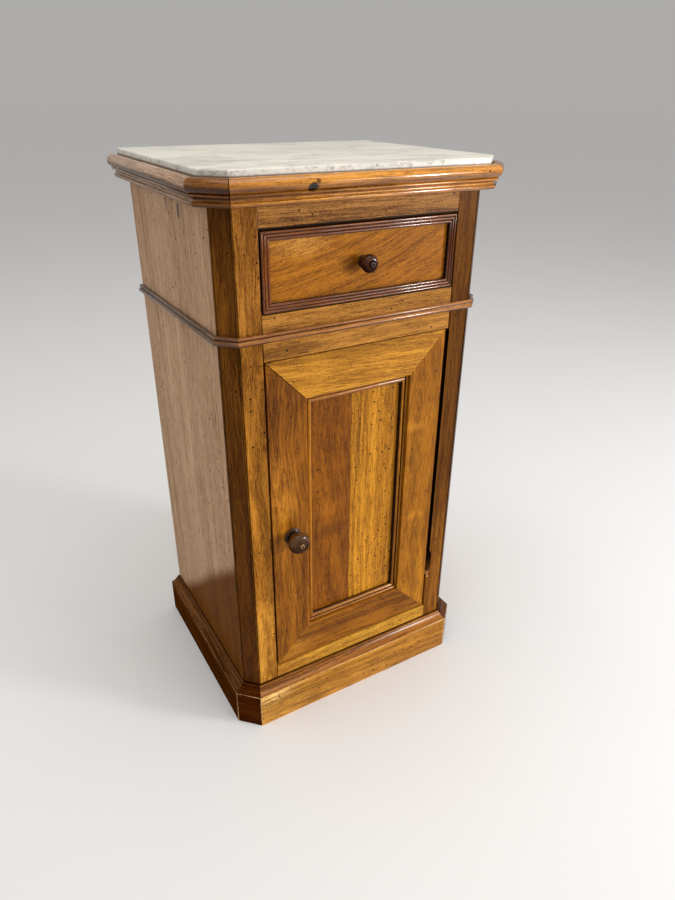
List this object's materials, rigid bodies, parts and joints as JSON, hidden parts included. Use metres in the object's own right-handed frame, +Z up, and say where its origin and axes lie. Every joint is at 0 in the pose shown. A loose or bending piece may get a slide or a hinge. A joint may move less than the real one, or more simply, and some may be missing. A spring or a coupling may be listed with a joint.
{
  "type": "bedside pot cupboard",
  "caption": "Bedside pot cupboard with canted front corners, a moulded cornice round a marble slab, a drawer over a mitred panel door, and a plinth.",
  "frame": {"origin": "centre of the whole object's box, on the floor", "axes": "+Z up, the front with the drawer and the door faces -Y, +X to the right seen from the front"},
  "size_m": [0.419, 0.339, 0.78],
  "materials": {
    "marble": "honed white marble with faint grey veins, worn edges",
    "front_walnut": "honey-brown waxed walnut with a soft sheen",
    "side_walnut": "duller waxed walnut, pinkish brown",
    "moulding_walnut": "red-brown polished walnut",
    "knob_wood": "turned, dark stained and polished",
    "inside_wood": "unfinished poplar",
    "iron": "dark wrought iron"
  },
  "bodies": {
    "carcass": {"marble_top": "marble", "cornice_front": "moulding_walnut", "cornice_left": "moulding_walnut", "cornice_right": "moulding_walnut", "cornice_cant_left": "moulding_walnut", "cornice_cant_right": "moulding_walnut", "string_front": "moulding_walnut", "string_left": "moulding_walnut", "string_right": "moulding_walnut", "string_cant_left": "moulding_walnut", "string_cant_right": "moulding_walnut", "plinth_front": "front_walnut", "plinth_left": "side_walnut", "plinth_right": "side_walnut", "plinth_cant_left": "moulding_walnut", "plinth_cant_right": "moulding_walnut", "corner_post_left": "front_walnut", "corner_post_right": "front_walnut", "side_board_left": "side_walnut", "side_board_right": "side_walnut", "top_rail": "front_walnut", "middle_rail": "front_walnut", "bottom_rail": "front_walnut", "back_rails": "inside_wood", "back_boards": "inside_wood", "cupboard_floor": "inside_wood", "shelf": "inside_wood", "battens": "inside_wood", "dust_board": "inside_wood", "drawer_runners": "inside_wood", "drawer_guides": "inside_wood", "drawer_kickers": "inside_wood", "glue_blocks": "inside_wood", "door_stop": "inside_wood", "socket_plates": "iron", "socket_screws": "iron"},
    "drawer": {"drawer_front": "front_walnut", "drawer_side_left": "inside_wood", "drawer_side_right": "inside_wood", "drawer_back": "inside_wood", "drawer_bottom": "inside_wood", "drawer_mould_top": "moulding_walnut", "drawer_mould_bottom": "moulding_walnut", "drawer_mould_left": "moulding_walnut", "drawer_mould_right": "moulding_walnut", "drawer_knob": "knob_wood"},
    "door": {"door_stile_left": "front_walnut", "door_stile_right": "front_walnut", "door_rail_top": "front_walnut", "door_rail_bottom": "front_walnut", "door_panel_left": "front_walnut", "door_panel_right": "front_walnut", "door_bead_top": "front_walnut", "door_bead_bottom": "front_walnut", "door_bead_left": "front_walnut", "door_bead_right": "front_walnut", "pivot_plates": "iron", "pivot_screws": "iron"},
    "latch": {"door_knob": "knob_wood", "turn_button": "knob_wood"}
  },
  "joints": [
    {"name": "drawer_slide", "type": "slide", "parent": "carcass", "child": "drawer", "axis": [0, -1, 0], "range_m": [0, 0.22]},
    {"name": "door_swing", "type": "hinge", "parent": "carcass", "child": "door", "pos_m": [0.1215, -0.132, 0.33], "axis": [0, 0, 1], "range_deg": [0, 110]},
    {"name": "knob_turn", "type": "hinge", "parent": "door", "child": "latch", "pos_m": [-0.1035, -0.1385, 0.315], "axis": [0, 1, 0], "range_deg": [0, 90]}
  ]
}
